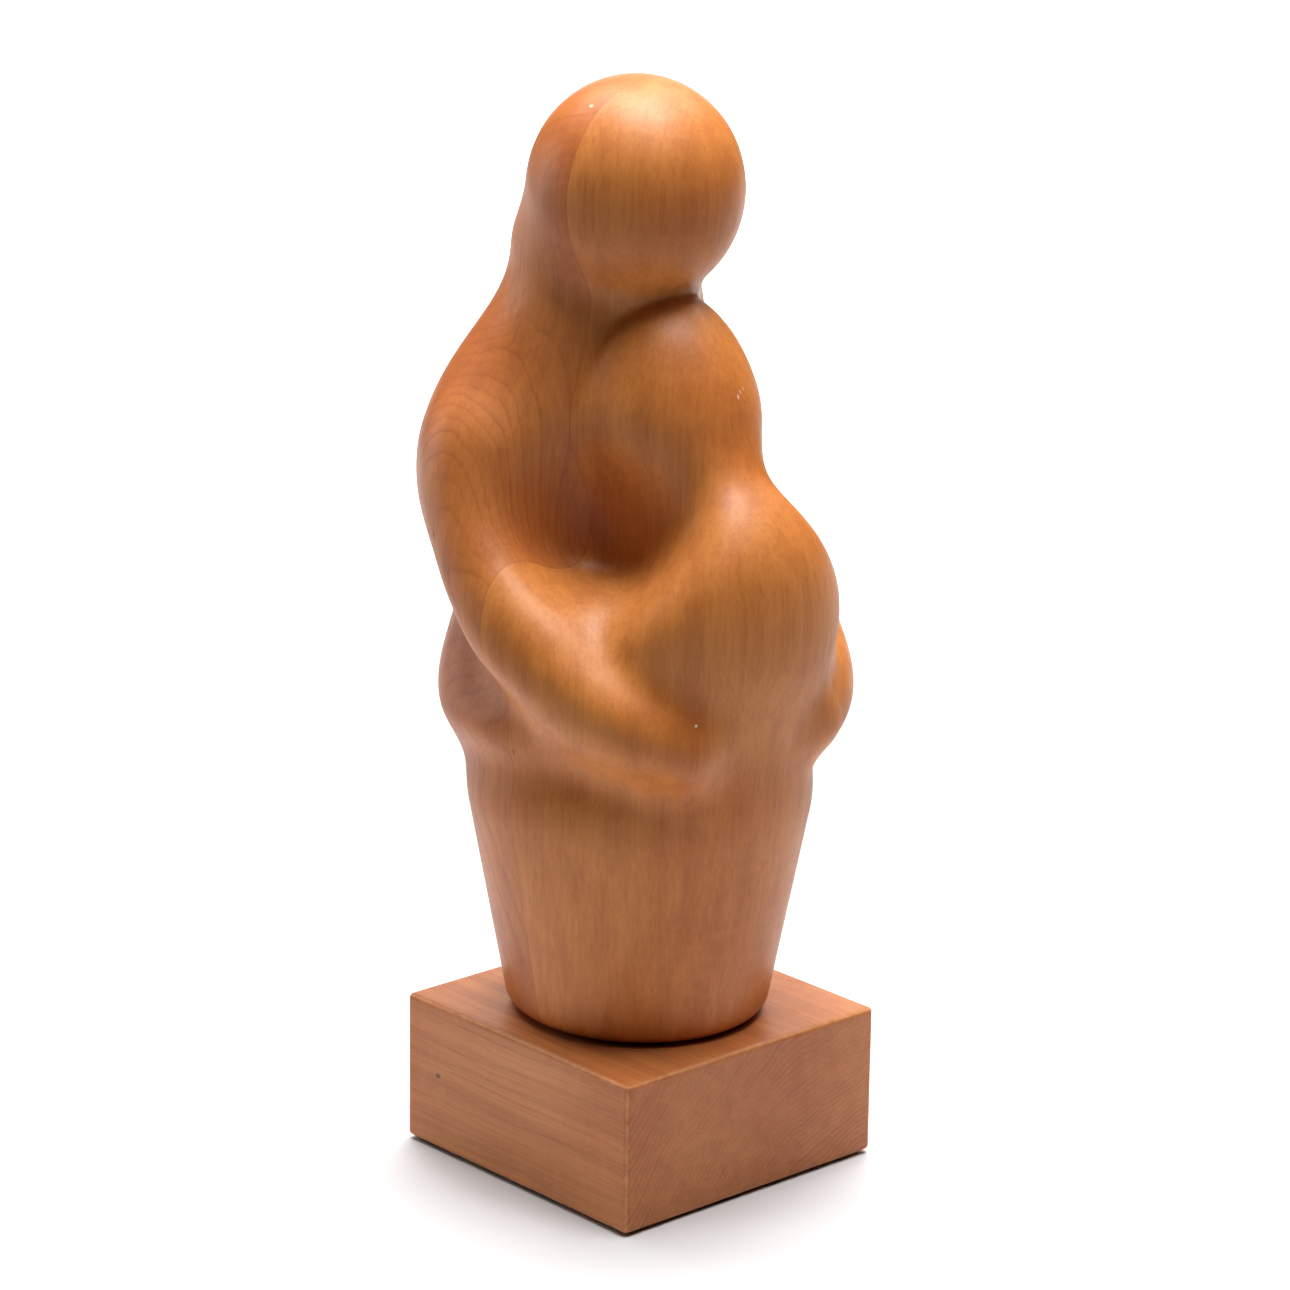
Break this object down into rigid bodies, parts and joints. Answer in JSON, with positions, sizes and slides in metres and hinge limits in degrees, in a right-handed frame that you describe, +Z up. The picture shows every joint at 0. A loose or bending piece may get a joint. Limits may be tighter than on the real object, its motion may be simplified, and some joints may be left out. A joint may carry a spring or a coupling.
{
  "type": "carved wooden figure",
  "caption": "Smooth carved wooden figure of a mother-to-be with folded arms, standing on a square wooden plinth.",
  "frame": {"origin": "on the table, under the middle of the square plinth, at the underside of its felt sheet", "axes": "+Z up; the figure looks along -Y, so its right arm is on the -X side; the plinth's sides lie along X and Y"},
  "size_m": [0.1376, 0.1469, 0.3623],
  "materials": {
    "figure_front_wood": "satin oiled",
    "figure_back_wood": "satin oiled",
    "plinth_wood": "satin oiled",
    "screw_metal": "plain",
    "washer_metal": "plain",
    "felt": "matt"
  },
  "bodies": {
    "root": {"figure_front_board": "figure_front_wood", "figure_back_board": "figure_back_wood", "plinth_block": "plinth_wood", "fixing_screw": "screw_metal", "screw_washer": "washer_metal", "felt_sheet": "felt"}
  },
  "joints": []
}
